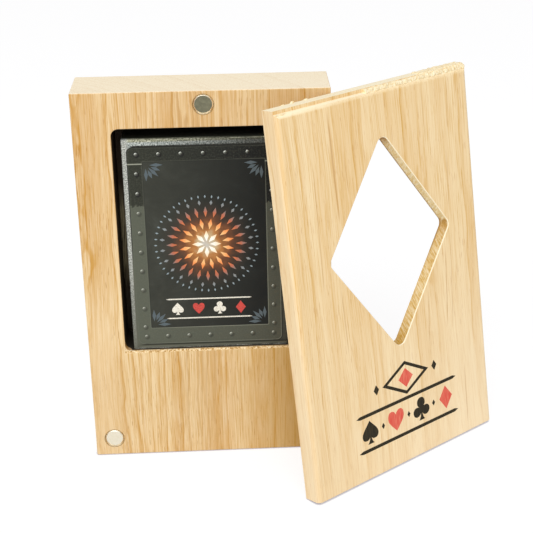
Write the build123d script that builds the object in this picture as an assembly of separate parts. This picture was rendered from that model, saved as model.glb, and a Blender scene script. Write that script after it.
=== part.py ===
from build123d import *
import math
import os

# Playing card case: a block of pale wood with a routed pocket that holds a deck in its carton, and a
# loose panel lid with a diamond window that three pairs of disc magnets hold on. Here the lid is off: it
# stands on its foot and leans on the case's front right arris.
# Frame: millimetres, origin in the middle of the case's foot, Z up, X to the right, the front faces -Y.

# Cards: what everything else is sized from
CARD_W = 63.0
CARD_H = 88.0
CARD_T = 0.28
CARD_AIR = 0.003
CARD_R = 3.5
CORNER_CHORDS = 4
SUITS = ("spades", "hearts", "clubs", "diamonds")
SUIT_CARDS = 13
JOKERS = 2

# Carton of the deck, folded from one board, and the room it leaves round the cards
BOARD = 0.4
CARD_SIDE_ROOM = 0.2
CARD_HEADROOM = 2.7
CARD_PLAY = 0.018
LOOSE = 0.05
FOLD_R = 0.6
FLAP_FOLD_R = 0.35
TONGUE_DROP = 14.0
TONGUE_R = 8.0
TONGUE_SIDE_GAP = 0.6
FLAP_REACH = 20.0
FLAP_TAPER = 2.5
GLUE_FLAP = 12.0
NOTCH_R = 8.0

# Pocket in the case, open to the front: the room it leaves round the carton
TUCK_SIDE_GAP = 3.5
TUCK_HEAD_GAP = 5.15
TUCK_FOOT_GAP = 0.05
TUCK_BACK_GAP = 0.2
TUCK_SET_BACK = 2.2
POCKET_R = 3.0
RIM_EASE = 0.4

# Case block: the wood left round the pocket
BACK_WALL = 5.5
SIDE_WALL = 15.25
HEAD_WALL = 15.0
FOOT_WALL = 50.0
CASE_EASE = 0.5

# Disc magnets, three in the case and three in the lid
MAGNET_D = 8.0
MAGNET_T = 3.0
MAGNET_BEVEL = 0.5
MAGNET_FIT = 0.1
MAGNET_SINK = 0.2
TOP_MAGNET_DROP = 5.6
TOP_MAGNET_RIGHT = 0.9
FOOT_MAGNET_RISE = 8.0
FOOT_MAGNET_INSET = 8.0

# Lid panel: a little wider and a little lower than the case
LID_PROUD = 0.5
LID_SHORT = 0.5
LID_T = 8.5
LID_ROUND = 2.1
LID_STEP = 1.4
LID_EASE = 0.4

# Diamond window over the deck's middle, and the recess behind it
WINDOW_W = 68.0
WINDOW_H = 93.6
WINDOW_R = 3.3
WINDOW_EASE = 0.4
WINDOW_RIGHT = 0.85
WINDOW_UP = 0.65
RECESS_DEPTH = 3.1
RECESS_MARGIN = 0.5

# How the lid leans on the case
LID_LEAN = 8.4
LID_TURN = 37.2
ARRIS_ALONG = 35.3
LEAN_GAP = 0.05

# Two places nearer than this count as one
NEAR = 1e-4

# Sizes that follow
card_pitch = CARD_T + CARD_AIR
stack = (SUIT_CARDS * len(SUITS) + JOKERS) * card_pitch
tuck_w = CARD_W + 2 * (CARD_SIDE_ROOM + 2 * BOARD)
tuck_h = CARD_H + 5 * BOARD + 2 * LOOSE + CARD_HEADROOM
tuck_d = stack + 3 * BOARD + 2 * LOOSE + CARD_PLAY
pocket_w = tuck_w + 2 * TUCK_SIDE_GAP
pocket_h = TUCK_FOOT_GAP + tuck_h + TUCK_HEAD_GAP
pocket_d = TUCK_SET_BACK + tuck_d + TUCK_BACK_GAP
case_w = pocket_w + 2 * SIDE_WALL
case_d = pocket_d + BACK_WALL
case_h = FOOT_WALL + pocket_h + HEAD_WALL
case_front = -case_d / 2
pocket_mid = FOOT_WALL + pocket_h / 2
lid_w = case_w + 2 * LID_PROUD
lid_h = case_h - LID_SHORT
magnet_hole_r = MAGNET_D / 2 + MAGNET_FIT
magnet_hole_depth = MAGNET_T + MAGNET_SINK
foot_magnet_x = case_w / 2 - FOOT_MAGNET_INSET
magnet_places = {
    "top": (TOP_MAGNET_RIGHT, case_h - TOP_MAGNET_DROP),
    "left": (-foot_magnet_x, FOOT_MAGNET_RISE),
    "right": (foot_magnet_x, FOOT_MAGNET_RISE),
}
tuck_front = case_front + TUCK_SET_BACK
tuck_back = tuck_front + tuck_d
tuck_foot = FOOT_WALL + TUCK_FOOT_GAP
tuck_top = tuck_foot + tuck_h
# Under the cards lie the outer and inner bottom panels and the lower dust flaps
card_foot = tuck_foot + 3 * BOARD + LOOSE
window_rise = tuck_foot + tuck_h / 2 + WINDOW_UP


def box_between(low, high):
    """A box from its lowest corner to its highest corner."""
    size = [top - bottom for bottom, top in zip(low, high)]
    return Pos(*low) * Box(*size, align=(Align.MIN, Align.MIN, Align.MIN))


def front_facing(sketch, x, y, z, depth):
    """Extrudes a sketch drawn as seen from the front, from the plane at y backwards by depth."""
    plane = Plane(origin=(x, y, z), x_dir=(1, 0, 0), z_dir=(0, -1, 0))
    return extrude(plane * sketch, amount=depth, dir=(0, 1, 0))


def edges_in_plane(shape, y, half_width, low, high):
    """The edges that lie in the plane at y, within half_width of x = 0 and between two heights."""
    def inside(edge):
        box = edge.bounding_box()
        flat = abs(box.min.Y - y) < NEAR and abs(box.max.Y - y) < NEAR
        across = box.min.X > -half_width and box.max.X < half_width
        return flat and across and box.min.Z > low and box.max.Z < high
    return shape.edges().filter_by(inside)


def magnet_hole(x, z, y, depth):
    """A blind hole that opens at y and runs backwards."""
    return front_facing(Circle(magnet_hole_r), x, y, z, depth)


def disc_magnet():
    """A plated disc with both rims bevelled, its axis along Y, its front face at y = 0."""
    disc = front_facing(Circle(MAGNET_D / 2), 0, 0, 0, MAGNET_T)
    return chamfer(disc.edges().filter_by(GeomType.CIRCLE), MAGNET_BEVEL)


def case_block():
    block = Pos(0, 0, case_h / 2) * Box(case_w, case_d, case_h)
    block = fillet(block.edges(), CASE_EASE)
    mouth = RectangleRounded(pocket_w, pocket_h, POCKET_R)
    block -= front_facing(mouth, 0, case_front, pocket_mid, pocket_d)
    rim = edges_in_plane(block, case_front, pocket_w / 2 + RIM_EASE, FOOT_WALL - RIM_EASE,
                         FOOT_WALL + pocket_h + RIM_EASE)
    block = fillet(rim, RIM_EASE)
    for x, z in magnet_places.values():
        block -= magnet_hole(x, z, case_front, magnet_hole_depth)
    return block


def lid_panel():
    """The lid upright: middle of its foot at the origin, back face at y = 0, front face at y = -LID_T."""
    panel = box_between((-lid_w / 2, -LID_T, 0), (lid_w / 2, 0, lid_h))
    uprights = panel.edges().filter_by(Axis.Z).group_by(Axis.Y)[0]
    panel = fillet(uprights, LID_ROUND)
    back_rim = panel.edges().filter_by(lambda edge: edge.bounding_box().min.Y > -NEAR)
    panel = fillet(back_rim, LID_EASE)
    panel -= top_moulding()
    half_w = WINDOW_W / 2
    half_h = WINDOW_H / 2
    diamond = Polygon((-half_w, 0), (0, -half_h), (half_w, 0), (0, half_h), align=None)
    diamond = fillet(diamond.vertices(), WINDOW_R)
    panel -= front_facing(diamond, WINDOW_RIGHT, -LID_T, window_rise, LID_T)
    recess = RectangleRounded(pocket_w + 2 * RECESS_MARGIN, pocket_h + 2 * RECESS_MARGIN, POCKET_R)
    panel -= front_facing(recess, WINDOW_RIGHT, -RECESS_DEPTH, pocket_mid, RECESS_DEPTH)
    arris = edges_in_plane(panel, -LID_T, half_w + WINDOW_RIGHT, window_rise - half_h, window_rise + half_h)
    panel = fillet(arris, WINDOW_EASE)
    for x, z in magnet_places.values():
        panel -= magnet_hole(x, z, -magnet_hole_depth, magnet_hole_depth)
    return panel


def top_moulding():
    """What the cutter takes off along the top front edge: a small step and a quarter round below it."""
    step_y = -LID_T + LID_ROUND
    step_z = lid_h - LID_STEP
    round_end = step_z - LID_ROUND
    beyond = LID_ROUND
    quarter = CenterArc((step_y, round_end), LID_ROUND, 90, 90)
    corners = [(-LID_T - beyond, round_end), (-LID_T - beyond, lid_h + beyond), (step_y, lid_h + beyond)]
    outline = quarter + Polyline(quarter @ 1, *corners, quarter @ 0)
    end = Plane(origin=(-lid_w / 2 - beyond, 0, 0), x_dir=(0, 1, 0), z_dir=(1, 0, 0))
    return extrude(end * make_face(outline), amount=lid_w + 2 * beyond, dir=(1, 0, 0))


def lean_on_case(shape):
    """Leans an upright lid piece: back foot edge on the ground, its back against the front right arris."""
    lean = math.radians(LID_LEAN)
    turn = math.radians(LID_TURN)
    touch = min(case_h, lid_h * math.cos(lean))
    foot_out = touch * math.tan(lean) + LEAN_GAP
    along = lid_w / 2 - ARRIS_ALONG
    foot_x = case_w / 2 + foot_out * math.sin(turn) + along * math.cos(turn)
    foot_y = case_front - foot_out * math.cos(turn) + along * math.sin(turn)
    return Pos(foot_x, foot_y, 0) * Rot(0, 0, LID_TURN) * Rot(-LID_LEAN, 0, 0) * shape


def tuck_sleeve():
    """The carton's four walls and glue flap. The sides are lowest, and the rear wall hides the tongue."""
    mid_y = (tuck_front + tuck_back) / 2
    outside = Pos(0, mid_y) * RectangleRounded(tuck_w, tuck_d, FOLD_R)
    inside = Pos(0, mid_y) * Rectangle(tuck_w - 2 * BOARD, tuck_d - 2 * BOARD)
    low = tuck_foot + BOARD
    walls = extrude(Pos(0, 0, low) * (outside - inside), amount=tuck_h - BOARD)
    half = tuck_w / 2
    rear_inside = tuck_back - BOARD
    side_top = tuck_top - 2 * BOARD - LOOSE
    walls -= box_between((-half, tuck_front, tuck_top - BOARD), (half, rear_inside, tuck_top))
    walls -= box_between((-half, tuck_front + BOARD, side_top), (half, rear_inside, tuck_top))
    glue_flap_low = (half - 2 * BOARD, rear_inside - GLUE_FLAP, card_foot)
    walls += box_between(glue_flap_low, (half - BOARD, rear_inside, side_top))
    return walls - front_facing(Circle(NOTCH_R), 0, rear_inside, tuck_top, BOARD)


def tuck_top_flap():
    """Top panel hinged at the front, then folded down as a tongue between the rear wall and the cards."""
    half = tuck_w / 2
    rear = tuck_back - BOARD - LOOSE
    panel = box_between((-half, tuck_front, tuck_top - BOARD), (half, rear, tuck_top))
    panel = fillet(panel.edges().filter_by(Axis.Z).group_by(Axis.Y)[0], FOLD_R)
    tongue_w = tuck_w - 4 * BOARD - 2 * TONGUE_SIDE_GAP
    tongue = Rectangle(tongue_w, TONGUE_DROP)
    tongue = fillet(tongue.vertices().group_by(Axis.Y)[0], TONGUE_R)
    panel += front_facing(tongue, 0, rear - BOARD, tuck_top - TONGUE_DROP / 2, BOARD)
    folds = panel.edges().filter_by(Axis.X).filter_by(lambda edge: edge.center().Z > tuck_top - NEAR)
    return fillet(folds, FLAP_FOLD_R)


def dust_flap(side, base):
    """A flap that lies flat from a side wall inwards and tapers to its free end; base is its lower face."""
    half = tuck_w / 2
    depth_front = tuck_front + BOARD + LOOSE
    depth_back = tuck_back - 2 * BOARD - 2 * LOOSE
    points = [
        (side * half, depth_front),
        (side * (half - FLAP_TAPER), depth_front),
        (side * (half - FLAP_REACH), depth_front + FLAP_TAPER),
        (side * (half - FLAP_REACH), depth_back - FLAP_TAPER),
        (side * (half - FLAP_TAPER), depth_back),
        (side * half, depth_back),
    ]
    return extrude(Pos(0, 0, base) * Polygon(*points, align=None), amount=BOARD, dir=(0, 0, 1))


def tuck_bottom_outer():
    """The outer bottom panel, under all four walls."""
    mid_y = (tuck_front + tuck_back) / 2
    return extrude(Pos(0, mid_y, tuck_foot) * RectangleRounded(tuck_w, tuck_d, FOLD_R), amount=BOARD)


def inner_floor(base, reach_side=0):
    """A panel inside the walls, or with reach_side a flap from one side wall inwards."""
    half = tuck_w / 2 - BOARD
    back = tuck_back - BOARD - LOOSE
    front = tuck_front + BOARD + LOOSE
    if reach_side == 0:
        return box_between((-half + LOOSE, front, base), (half - LOOSE, back, base + BOARD))
    ends = sorted((reach_side * (half - LOOSE), reach_side * (half - FLAP_REACH)))
    return box_between((ends[0], front, base), (ends[1], back, base + BOARD))


def card_outline():
    """A card's outline. The cards lie hidden in the carton, so each round corner is a few short chords."""
    points = []
    for quarter in range(4):
        middle = math.radians(90 * quarter + 45)
        centre_x = math.copysign(CARD_W / 2 - CARD_R, math.cos(middle))
        centre_y = math.copysign(CARD_H / 2 - CARD_R, math.sin(middle))
        for step in range(CORNER_CHORDS + 1):
            angle = math.radians(90 * (quarter + step / CORNER_CHORDS))
            points.append((centre_x + CARD_R * math.cos(angle), centre_y + CARD_R * math.sin(angle)))
    return Polygon(*points, align=None)


def cards(first, count):
    """A run of cards in the pack, counted from the front, each a separate sheet with rounded corners."""
    outline = card_outline()
    front = tuck_front + BOARD + LOOSE
    middle = card_foot + CARD_H / 2
    sheets = [front_facing(outline, 0, front + index * card_pitch, middle, CARD_T)
              for index in range(first, first + count)]
    return Compound(children=sheets)


def all_pieces():
    pieces = {"case_block": case_block(), "lid_panel": lean_on_case(lid_panel())}
    for name, (x, z) in magnet_places.items():
        in_case = Pos(x, case_front + MAGNET_SINK, z) * disc_magnet()
        in_lid = Pos(x, -magnet_hole_depth, z) * disc_magnet()
        pieces["case_magnet_" + name] = in_case
        pieces["lid_magnet_" + name] = lean_on_case(in_lid)
    pieces["tuck_sleeve"] = tuck_sleeve()
    pieces["tuck_top_flap"] = tuck_top_flap()
    pieces["tuck_bottom_outer"] = tuck_bottom_outer()
    pieces["tuck_bottom_inner"] = inner_floor(tuck_foot + BOARD)
    for name, side in (("left", -1), ("right", 1)):
        pieces["tuck_dust_flap_" + name] = dust_flap(side, tuck_top - 2 * BOARD - LOOSE)
        pieces["tuck_bottom_dust_" + name] = inner_floor(tuck_foot + 2 * BOARD, side)
    first = 0
    for suit in SUITS:
        pieces["cards_" + suit] = cards(first, SUIT_CARDS)
        first += SUIT_CARDS
    pieces["cards_jokers"] = cards(first, JOKERS)
    return pieces


os.makedirs("parts", exist_ok=True)
for node, piece in all_pieces().items():
    export_step(piece, "parts/" + node + ".step")
    print(node, len(piece.solids()), "solids")

print("case", case_w, case_d, case_h, "carton", tuck_w, tuck_d, tuck_h, "lid", lid_w, LID_T, lid_h)
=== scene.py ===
# %% [markdown]
# # A playing card case in Blender
# The real object is a wooden block with a pocket for a deck of cards, and a loose wooden lid with a diamond
# window that three magnets hold on its front. Here the lid is off and leans on the block's right arris. The
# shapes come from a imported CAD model, which already stands in the right place. This lesson gives it its looks:
# sawn wood, nickel plate, a printed carton, and small things that are easier by hand than in CAD.

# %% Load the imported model
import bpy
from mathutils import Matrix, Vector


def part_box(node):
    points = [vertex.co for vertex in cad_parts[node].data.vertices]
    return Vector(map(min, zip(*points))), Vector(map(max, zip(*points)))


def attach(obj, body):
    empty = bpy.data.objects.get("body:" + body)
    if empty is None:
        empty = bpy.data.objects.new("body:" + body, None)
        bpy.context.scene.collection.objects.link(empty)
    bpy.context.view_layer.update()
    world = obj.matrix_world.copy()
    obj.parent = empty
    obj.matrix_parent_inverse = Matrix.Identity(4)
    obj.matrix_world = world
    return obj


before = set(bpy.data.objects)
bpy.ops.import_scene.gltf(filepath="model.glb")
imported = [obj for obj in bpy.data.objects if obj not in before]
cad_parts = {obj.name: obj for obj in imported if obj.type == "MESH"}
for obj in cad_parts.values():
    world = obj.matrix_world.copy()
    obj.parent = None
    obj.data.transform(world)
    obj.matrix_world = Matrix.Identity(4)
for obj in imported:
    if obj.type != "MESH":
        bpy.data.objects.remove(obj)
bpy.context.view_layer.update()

# %% The tools of the lesson
from functools import partial
from math import pi, radians

import bpy
from mathutils import Matrix, Vector

MM = 0.001
scene = bpy.context.scene
print("one millimetre is", MM, "of Blender's units")

# %% [markdown]
# ## The camera
# A photograph's viewpoint is worked out from things of known size in it. Here a poker deck's carton, 65 mm wide,
# gives the scale, and the corners give the rest: the lens is a long one, half a metre away and 31 cm up, and it
# looks down by 22.7 degrees. The photograph was trimmed, so its middle isn't where the lens pointed. A small
# shift of the lens says the same thing without turning the camera.

# %% Camera: the lens in pixels of a square photograph
WIDTH, FOCAL_LENGTH, MIDDLE_X, MIDDLE_Y = 533, 1335.262, 311.27, 244.11
bpy.ops.object.camera_add(location=(13.213 * MM, -519.238 * MM, 308.728 * MM))
camera = bpy.context.object
camera.name = "camera"
camera.rotation_euler = (Matrix.Rotation(radians(-3.362), 4, "Z") @ Matrix.Rotation(radians(90 - 22.683), 4, "X")
                         @ Matrix.Rotation(radians(-0.506), 4, "Z")).to_euler()
camera.data.sensor_width = 36
camera.data.lens = camera.data.sensor_width * FOCAL_LENGTH / WIDTH
camera.data.shift_x = (WIDTH / 2 - MIDDLE_X) / WIDTH
camera.data.shift_y = (MIDDLE_Y - WIDTH / 2) / WIDTH
camera.data.clip_start = 0.01
scene.camera = camera
print("lens", round(camera.data.lens, 2), "mm, shifted by", round(camera.data.shift_x, 3), "of its width")

# %% [markdown]
# ## One function for nodes, one for colours
# Every finish below is a tree of nodes. Adding a node means three things: its settings, the values or links that
# go into its sockets, and for a colour ramp its stops. One function does all of that, so the trees read like
# recipes; each new finish hands it out as `add`, tied to its own tree. Values fill the sockets in their order; a
# word that starts with a capital names a socket, and any other word is a setting. A node stands for its first
# output. Colours are written as a picture editor gives them, as sRGB hex, and one function turns them into the
# linear numbers that the renderer works with.

# %% Colours and nodes
def linear(code):
    """An sRGB colour such as '#d9bb86' as Blender's linear red, green, blue and alpha."""
    parts = [int(code[i:i + 2], 16) / 255 for i in (1, 3, 5)]
    return [c / 12.92 if c <= 0.04045 else ((c + 0.055) / 1.055) ** 2.4 for c in parts] + [1.0]


def add_node(tree, kind, *values, stops=None, **settings):
    """Adds a node with its settings, its sockets' values or links, and a colour ramp's stops."""
    node = tree.nodes.new("ShaderNode" + kind)
    named = {name: settings.pop(name) for name in list(settings) if name[0].isupper()}
    for name, value in settings.items():
        setattr(node, name, value)
    sockets = [socket for socket in node.inputs if socket.enabled]
    sockets = list(zip(sockets, values)) + [(node.inputs[name.replace("_", " ")], named[name]) for name in named]
    for socket, value in sockets:
        if isinstance(value, bpy.types.Node):
            value = next(out for out in value.outputs if out.enabled)
        if isinstance(value, bpy.types.NodeSocket):
            tree.links.new(value, socket)
        else:
            socket.default_value = linear(value) if isinstance(value, str) else value
    if stops:
        ramp = node.color_ramp
        while len(ramp.elements) < len(stops):
            ramp.elements.new(0.5)
        for element, (position, colour) in zip(ramp.elements, stops):
            element.position = position
            element.color = linear(colour) if isinstance(colour, str) else [colour, colour, colour, 1]
    return node


def new_finish(name):
    """An empty material, and the function that adds nodes to its tree."""
    finish = bpy.data.materials.new(name)
    finish.use_nodes = True
    finish.node_tree.nodes.clear()
    return finish, partial(add_node, finish.node_tree)


def dress(word, finish):
    """Gives a finish to the CAD nodes whose names start with that word."""
    for name in sorted(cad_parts):
        if name.startswith(word):
            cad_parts[name].data.materials.clear()
            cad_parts[name].data.materials.append(finish)
            print(name, "is", finish.name)


print("white is", linear("#ffffff"), "and middle grey", [round(c, 3) for c in linear("#808080")])

# %% [markdown]
# Most of what is painted below lies somewhere: above a height, left of a line, or round a corner. So a place is
# written as a product of ranges, and a tint is laid over a colour as strongly as that product says.

# %% Steps that every finish uses
def chain(add, kind, value, *steps):
    """Sends a value through maths nodes, one after the other: each an operation, and what else it takes."""
    for operation, *others in steps:
        value = add(kind, value, *others, operation=operation)
    return value


def product(add, *parts):
    """
    Multiplies outputs and ranges. A range is (value, start, end), with what it gives there if that isn't 0 and 1.
    Instead of its value stands (noise, amount, value) where noise shifts its border.
    """
    result = None
    for part in parts:
        if isinstance(part, tuple):
            value, *ends = part
            if isinstance(value, tuple):
                value = add("Math", *value, operation="MULTIPLY_ADD")
            part = add("MapRange", value, *ends)
        result = part if result is None else add("Math", result, part, operation="MULTIPLY")
    return result


def tinted(add, colour, tint, *parts):
    """Lays a tint over a colour, as strongly as the product of the parts."""
    return add("Mix", product(add, *parts), colour, tint, data_type="RGBA")


def own_way(add, place, *step):
    """Object coordinates in the directions of a place, counted in steps of that many millimetres."""
    return add("Mapping", add("TexCoord").outputs["Object"], Location=place.translation,
               Rotation=place.to_euler(), Scale=[length * MM for length in step], vector_type="TEXTURE")


def grains(add, spot, size, *noise, shift=(0, 0, 0)):
    """Noise with grains of that width, depth and length."""
    spot = add("Mapping", spot, Location=shift, Scale=[1 / length for length in size])
    return add("TexNoise", spot, 1.0, *noise)


def from_axis(add, spot, across, up):
    """The distance of a spot from the line that runs from front to back at that place."""
    return chain(add, "VectorMath", spot, ("SUBTRACT", (across, 0, up)), ("MULTIPLY", (1, 0, 1)), ("LENGTH",))


print("a range that isn't given its ends runs from 0 to 1")

# %% [markdown]
# ## Floor and light
# The object stands on a plain white sweep. A floor that is really lit up to white would throw a lot of light up
# on the object, so it is only pale to the light, and white to the eye: Light Path tells the material when the
# camera, a mirror or a glass looks at it. A little of what the eye sees is still plain diffuse floor, so that the
# soft shadows at the feet stay.
# The light is one wide softbox, high in front, and an even pale sky for everything else.

# %% Floor
def seen_by_the_eye(add):
    """1 where the camera looks, straight or by a mirror or a glass."""
    path = add("LightPath").outputs
    return chain(add, "Math", path["Is Camera Ray"], ("MAXIMUM", path["Is Glossy Ray"]),
                 ("MAXIMUM", path["Is Transmission Ray"]))


bpy.ops.mesh.primitive_circle_add(vertices=96, radius=6.0, fill_type="NGON", location=(0, 0, 0))
floor = bpy.context.object
floor.name = "floor"
sweep, add = new_finish("pale_paper_sweep")
lit = add("BsdfDiffuse", "#f4f2ee")
# within 1.5 mm of a foot the sweep darkens to a violet grey: a painted contact shadow where wood touches paper
contact_shadow = add("AmbientOcclusion", Distance=1.5 * MM, samples=8)
tone = tinted(add, "#9a94a0", "#ffffff", (contact_shadow.outputs["AO"], 0.45, 0.8))
white = add("AddShader", add("BsdfDiffuse", "#8c8c8f"), add("Emission", tone, 0.8))
add("OutputMaterial", add("MixShader", seen_by_the_eye(add), lit, white))
floor.data.materials.append(sweep)
print("floor", round(floor.dimensions.x, 1), "m across")

# %% Light
world = bpy.data.worlds.new("pale_sky")
scene.world = world
world.use_nodes = True
world.node_tree.nodes.clear()
add = partial(add_node, world.node_tree)
sky = add("Background", "#fbfaf7", 0.58)
paper = add("Background", "#ffffff", 1.0)
add("OutputWorld", add("MixShader", seen_by_the_eye(add), sky, paper))

bpy.ops.object.light_add(type="AREA", location=(-0.2, -1.15, 1.2))
softbox = bpy.context.object
softbox.name = "softbox"
softbox.data.shape = "RECTANGLE"
softbox.data.size = 1.7
softbox.data.size_y = 0.8
softbox.data.energy = 18
softbox.rotation_euler = (Vector((0.02, 0, 0.08)) - softbox.location).to_track_quat("-Z", "Y").to_euler()
print("softbox", round(softbox.location.length, 2), "m from the object")

# %% [markdown]
# ## Where the lid stands
# The lid is turned 37.2 degrees to the block and leans back by 8.4 degrees. Its wood, and all that is stuck or
# printed on it, must follow its own directions. So its place is written once, as a matrix: x runs across from
# its middle, y from the back face (0) to the front (-8.5 mm), and z up from its foot.

# %% The lid's own directions
LID_TURN, LID_LEAN = radians(37.2), radians(8.4)
LID_FOOT = Vector((78.735, -21.253, 0)) * MM
LID_BACK, LID_FRONT = 0.0, -8.5
lid_place = Matrix.Translation(LID_FOOT) @ Matrix.Rotation(LID_TURN, 4, "Z") @ Matrix.Rotation(-LID_LEAN, 4, "X")
low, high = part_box("lid_panel")
print("lid box", [round(v / MM, 1) for v in low], [round(v / MM, 1) for v in high])

# %% [markdown]
# ## The wood
# Both parts are a pale, open-grained hardwood of the oak and ash kind, sawn, sanded and left satin. The eye sees
# four things in it: year rings, a few millimetres apart, that show as long lines along the grain and as arcs on
# the end grain; broad soft bands of colour; fine fibres; and open pores, short dark dashes that are specks on
# the end grain. The pattern is built in three dimensions and not painted on each face: noise that is stretched
# along the grain makes the fibres, and the distance from the heart of the tree makes the rings. End grain then
# comes out right by itself, and is only made a little paler.

# %% A function for sawn hardwood
def sawn_hardwood(name, place, heart, ring_gap, tints, contrast, seed):
    """Wood whose grain runs along the z of place. heart is the tree's heart in mm, in that place."""
    finish, add = new_finish(name)
    # from here on all coordinates are in millimetres, in the plank's own directions
    plank = own_way(add, place, 1, 1, 1)
    # slow wander of the grain: some 3 mm sideways over 120 mm of length
    slow = grains(add, plank, (30, 30, 120), 2.0, shift=(seed, 0, 0))
    grown = chain(add, "VectorMath", slow.outputs["Color"], ("SUBTRACT", (0.5, 0.5, 0.5)),
                  ("MULTIPLY", (6, 6, 0)), ("ADD", plank))
    # a quicker waver: up to 1.5 mm over 25 mm, which keeps the ring lines from looking ruled
    quick = grains(add, plank, (9, 9, 25), 3.0, shift=(0, seed, 0))
    # year rings: the distance from the heart, counted in rings of uneven width
    radius = chain(add, "VectorMath", grown, ("SUBTRACT", heart), ("MULTIPLY", (1, 1, 0)), ("LENGTH",))
    uneven = add("TexNoise", radius, 0.07, 1.0, noise_dimensions="1D")
    uneven = add("Math", uneven, 3.5 * ring_gap, radius, operation="MULTIPLY_ADD")
    uneven = add("Math", quick, 3.0, uneven, operation="MULTIPLY_ADD")
    rings = add("Math", uneven, ring_gap, operation="DIVIDE")
    within = add("Math", rings, operation="FRACT")
    year = add("Math", rings, operation="FLOOR")
    # on the right half of both planks fewer years end in a line
    sparse = add("MapRange", add("SeparateXYZ", plank).outputs["X"], -6.0, 20.0, 0.3, -0.45)
    strength = add("MapRange", add("TexWhiteNoise", year, noise_dimensions="1D"), To_Min=sparse)
    strength = add("Math", strength, 0.0, operation="MAXIMUM")
    # a ring ends in a soft shade and a fine line, which comes and goes along the grain every 16 mm or so
    shade = add("ValToRGB", within, stops=[(0.0, 0.1), (0.1, 0.0), (0.5, 0.02), (0.9, 0.42), (1.0, 0.1)])
    line = add("ValToRGB", within, stops=[(0.86, 0.0), (0.92, 1.0), (0.96, 1.0), (1.0, 0.0)])
    broken = grains(add, grown, (2, 2, 16), 2.0, shift=(seed, 0, 0))
    line = product(add, line, (broken, 0.38, 0.54, 0.4))
    late = product(add, add("Math", shade, line, operation="MAXIMUM"), strength)
    # soft bands 10 mm wide and some 200 mm long
    band = grains(add, grown, (10, 10, 200), 4.0, 0.6, shift=(0, 0, seed))
    # fibres, drawn 0.45 mm wide and some 26 mm long: the real ones are finer than the eye sees from here
    fibre = grains(add, grown, (0.45, 0.45, 26), 3.0, 0.65)
    # open pores 0.4 mm wide and some 6 mm long, most of them at the end of a ring
    pore = grains(add, grown, (0.4, 0.4, 6), 2.0, 0.5, shift=(seed, seed, 0))
    pore = add("Math", late, 0.1, pore, operation="MULTIPLY_ADD")
    pore = add("ValToRGB", pore, stops=[(0.65, 0.0), (0.72, 1.0)])
    # end grain is where the surface faces along the grain
    normal = add("TexCoord").outputs["Normal"]
    facing = add("VectorMath", normal, place.to_3x3() @ Vector((0, 0, 1)), operation="DOT_PRODUCT")
    end = add("Math", facing, operation="ABSOLUTE")
    end = add("MapRange", end, 0.55, 0.9, interpolation_type="SMOOTHSTEP")
    # colours along the grain: of the fibres every third is browner and every third paler than the ground
    pale, mid, streak, dark, sawn_end = tints
    ground = add("MapRange", band, 0.34, 0.66, interpolation_type="SMOOTHSTEP")
    colour = tinted(add, pale, mid, ground)
    colour = tinted(add, colour, streak, late, 1.4 * contrast)
    colour = tinted(add, colour, streak, (fibre, 0.48, 0.7, 0, 0.8 * contrast))
    colour = tinted(add, colour, sawn_end, (fibre, 0.47, 0.32, 0, 0.26 * contrast))
    colour = tinted(add, colour, dark, pore, 0.6 * contrast)
    # colours across the grain: the same fibres and rings, seen from their ends
    cut = tinted(add, sawn_end, mid, (fibre, 0.4, 0.7, 0, 0.45))
    cut = tinted(add, cut, streak, late, 0.22)
    colour = tinted(add, colour, cut, end)
    # the fibres stand up and the pores lie open by less than a tenth of a millimetre
    height = add("Math", pore, -0.4, fibre, operation="MULTIPLY_ADD")
    bump = add("Bump", Height=height, Strength=0.6, Distance=0.04 * MM)
    rough = add("MapRange", fibre, To_Min=0.5, To_Max=0.68)
    wood = add("BsdfPrincipled", colour, Roughness=rough, Normal=bump, IOR=1.45, Specular_IOR_Level=0.35)
    add("OutputMaterial", wood)
    return finish, {"add": add, "plank": plank, "colour": colour, "wood": wood, "facing": facing, "fibre": fibre,
                    "end": end, "years": uneven, "normal": normal}


print("the lid's grain runs along", [round(v, 3) for v in lid_place.to_3x3() @ Vector((0, 0, 1))])

# %% [markdown]
# The block was sawn so that its rings run from front to back at the top and lean a little to the right. The
# lid's plank is creamier and quieter, with its darkest lines on the left half.

# %% Wood on the block and the lid
block_wood, block = sawn_hardwood("satin_oak_block", Matrix.Identity(4), heart=(-190, -150, 0), ring_gap=4.2,
                                  tints=("#ecd3a6", "#e1c292", "#c48e2a", "#a86e1a", "#fbefd6"),
                                  contrast=0.92, seed=3.0)
lid_wood, lid = sawn_hardwood("satin_oak_lid", lid_place, heart=(190, -230, 0), ring_gap=5.0,
                              tints=("#f3dbb0", "#eacb99", "#cf9a30", "#b8781a", "#fdf0d4"),
                              contrast=0.68, seed=11.0)
dress("case_block", block_wood)
dress("lid_panel", lid_wood)
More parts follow.
